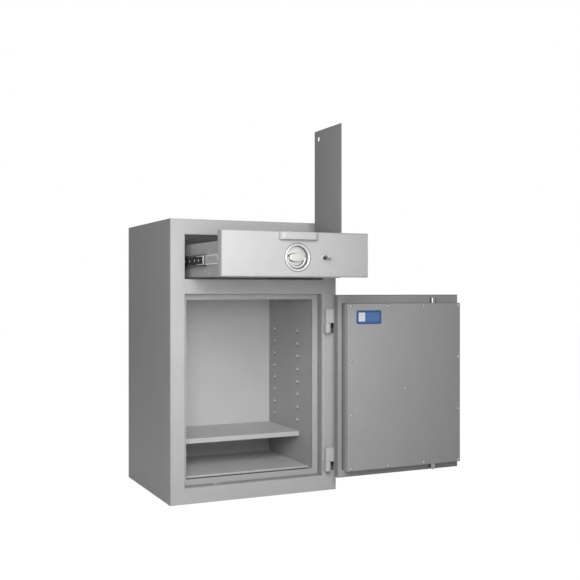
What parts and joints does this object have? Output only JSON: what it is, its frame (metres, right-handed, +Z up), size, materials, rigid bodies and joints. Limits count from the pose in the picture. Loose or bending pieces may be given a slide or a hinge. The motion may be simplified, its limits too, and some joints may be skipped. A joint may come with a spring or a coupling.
{
  "type": "drop safe with deposit drawer",
  "caption": "Floor-standing deposit safe: a drawer on telescopic slides with a lid and a drop flap above a vault whose thick hinged door has throwing bolts, and a shelf inside.",
  "frame": {"origin": "centre of the cabinet's underside, on the floor", "axes": "+X to the right seen from the front, +Y from the front into the cabinet, +Z up"},
  "size_m": [1.149, 0.9402, 1.318],
  "materials": {
    "body_paint": "light grey powder coat, fine orange peel, semi-matt",
    "inner_paint": "light grey powder coat, matt",
    "infill": "poured concrete filling",
    "zinc_plate": "zinc plated rolled steel",
    "bright_steel": "turned steel, bright",
    "satin_metal": "satin nickel",
    "blue_plate": "printed blue plate with a pale field, no text"
  },
  "bodies": {
    "cabinet": {"left_side_panel": "body_paint", "right_side_panel": "body_paint", "top_panel": "body_paint", "base_panel": "body_paint", "back_panel": "body_paint", "front_frame": "body_paint", "door_stop_flange": "body_paint", "wall_infill": "infill", "left_liner": "inner_paint", "right_liner": "inner_paint", "back_liner": "inner_paint", "bay_ceiling": "inner_paint", "floor_liner": "inner_paint", "deck": "inner_paint", "floor_plate": "inner_paint", "shelf": "inner_paint", "cabinet_hinge_lower": "body_paint", "cabinet_hinge_upper": "body_paint", "left_cabinet_rail": "zinc_plate", "right_cabinet_rail": "zinc_plate"},
    "vault_door": {"door_face": "body_paint", "door_shell": "body_paint", "door_infill": "infill", "door_inner_plate": "body_paint", "bolt_box": "body_paint", "door_cover": "body_paint", "blank_plate": "blue_plate", "door_hinge_lower": "body_paint", "door_hinge_upper": "body_paint", "door_handle_bowl": "satin_metal", "door_lock_case": "zinc_plate"},
    "door_handle": {"door_handle_rotor": "satin_metal", "door_cam": "zinc_plate"},
    "door_bail": {"door_handle_bail": "satin_metal"},
    "door_side_bolts": {"side_bolts": "bright_steel"},
    "door_top_bolt": {"top_bolt": "bright_steel"},
    "door_bottom_bolt": {"bottom_bolt": "bright_steel"},
    "drawer": {"drawer_front": "body_paint", "drawer_tray": "inner_paint", "deposit_box": "inner_paint", "lid_hinge_pin": "bright_steel", "flap_hinge_pin": "bright_steel", "pull_handle": "satin_metal", "handle_bowl": "satin_metal", "drawer_lock_case": "zinc_plate", "left_drawer_slide": "zinc_plate", "right_drawer_slide": "zinc_plate"},
    "drawer_lid": {"lid": "body_paint"},
    "flap": {"drop_flap": "inner_paint"},
    "left_middle": {"left_middle_slide": "zinc_plate"},
    "right_middle": {"right_middle_slide": "zinc_plate"},
    "drawer_handle": {"handle_rotor": "satin_metal", "handle_cam": "zinc_plate"},
    "drawer_bail": {"handle_bail": "satin_metal"},
    "left_drawer_bolt": {"drawer_bolt_left": "bright_steel"},
    "right_drawer_bolt": {"drawer_bolt_right": "bright_steel"},
    "drawer_key": {"key": "bright_steel"}
  },
  "joints": [
    {"name": "door_swing", "type": "hinge", "parent": "cabinet", "child": "vault_door", "pos_m": [0.279, -0.298, 0.37], "axis": [0, 0, 1], "range_deg": [-180, 0]},
    {"name": "door_handle_turn", "type": "hinge", "parent": "vault_door", "child": "door_handle", "pos_m": [0.7015, -0.34, 0.396], "axis": [0, 1, 0], "range_deg": [0, 90]},
    {"name": "door_bail_fold", "type": "hinge", "parent": "door_handle", "child": "door_bail", "pos_m": [0.7015, -0.33, 0.396], "axis": [1, 0, 0], "range_deg": [0, 90]},
    {"name": "side_bolts_throw", "type": "slide", "parent": "vault_door", "child": "door_side_bolts", "axis": [1, 0, 0], "range_m": [0, 0.02]},
    {"name": "top_bolt_throw", "type": "slide", "parent": "vault_door", "child": "door_top_bolt", "axis": [0, 0, 1], "range_m": [0, 0.02]},
    {"name": "bottom_bolt_throw", "type": "slide", "parent": "vault_door", "child": "door_bottom_bolt", "axis": [0, 0, -1], "range_m": [0, 0.02]},
    {"name": "drawer_slide", "type": "slide", "parent": "cabinet", "child": "drawer", "axis": [0, -1, 0], "range_m": [-0.105, 0.1]},
    {"name": "left_slide_follow", "type": "slide", "parent": "cabinet", "child": "left_middle", "axis": [0, -1, 0], "range_m": [-0.0525, 0.05]},
    {"name": "right_slide_follow", "type": "slide", "parent": "cabinet", "child": "right_middle", "axis": [0, -1, 0], "range_m": [-0.0525, 0.05]},
    {"name": "lid_hinge", "type": "hinge", "parent": "drawer", "child": "drawer_lid", "pos_m": [0.1815, -0.48, 0.913], "axis": [0, -1, 0], "range_deg": [0, 90]},
    {"name": "flap_drop", "type": "hinge", "parent": "drawer", "child": "flap", "pos_m": [-0.018, -0.5658, 0.7942], "axis": [-1, 0, 0], "range_deg": [0, 80]},
    {"name": "drawer_handle_turn", "type": "hinge", "parent": "drawer", "child": "drawer_handle", "pos_m": [0, -0.6, 0.8575], "axis": [0, 1, 0], "range_deg": [0, 90]},
    {"name": "drawer_bail_fold", "type": "hinge", "parent": "drawer_handle", "child": "drawer_bail", "pos_m": [0, -0.614, 0.8575], "axis": [-1, 0, 0], "range_deg": [0, 90]},
    {"name": "left_bolt_throw", "type": "slide", "parent": "drawer", "child": "left_drawer_bolt", "axis": [-1, 0, 0], "range_m": [0, 0.03]},
    {"name": "right_bolt_throw", "type": "slide", "parent": "drawer", "child": "right_drawer_bolt", "axis": [1, 0, 0], "range_m": [0, 0.03]},
    {"name": "key_turn", "type": "hinge", "parent": "drawer", "child": "drawer_key", "pos_m": [0.097, -0.62, 0.8575], "axis": [0, 1, 0], "range_deg": [0, 90]}
  ],
  "couplings": [
    {"joint": "side_bolts_throw", "follows": "door_handle_turn", "m_per_rad": 0.0127},
    {"joint": "top_bolt_throw", "follows": "door_handle_turn", "m_per_rad": 0.0127},
    {"joint": "bottom_bolt_throw", "follows": "door_handle_turn", "m_per_rad": 0.0127},
    {"joint": "left_slide_follow", "follows": "drawer_slide", "ratio": 0.5},
    {"joint": "right_slide_follow", "follows": "drawer_slide", "ratio": 0.5},
    {"joint": "left_bolt_throw", "follows": "drawer_handle_turn", "m_per_rad": 0.019},
    {"joint": "right_bolt_throw", "follows": "drawer_handle_turn", "m_per_rad": 0.019}
  ]
}
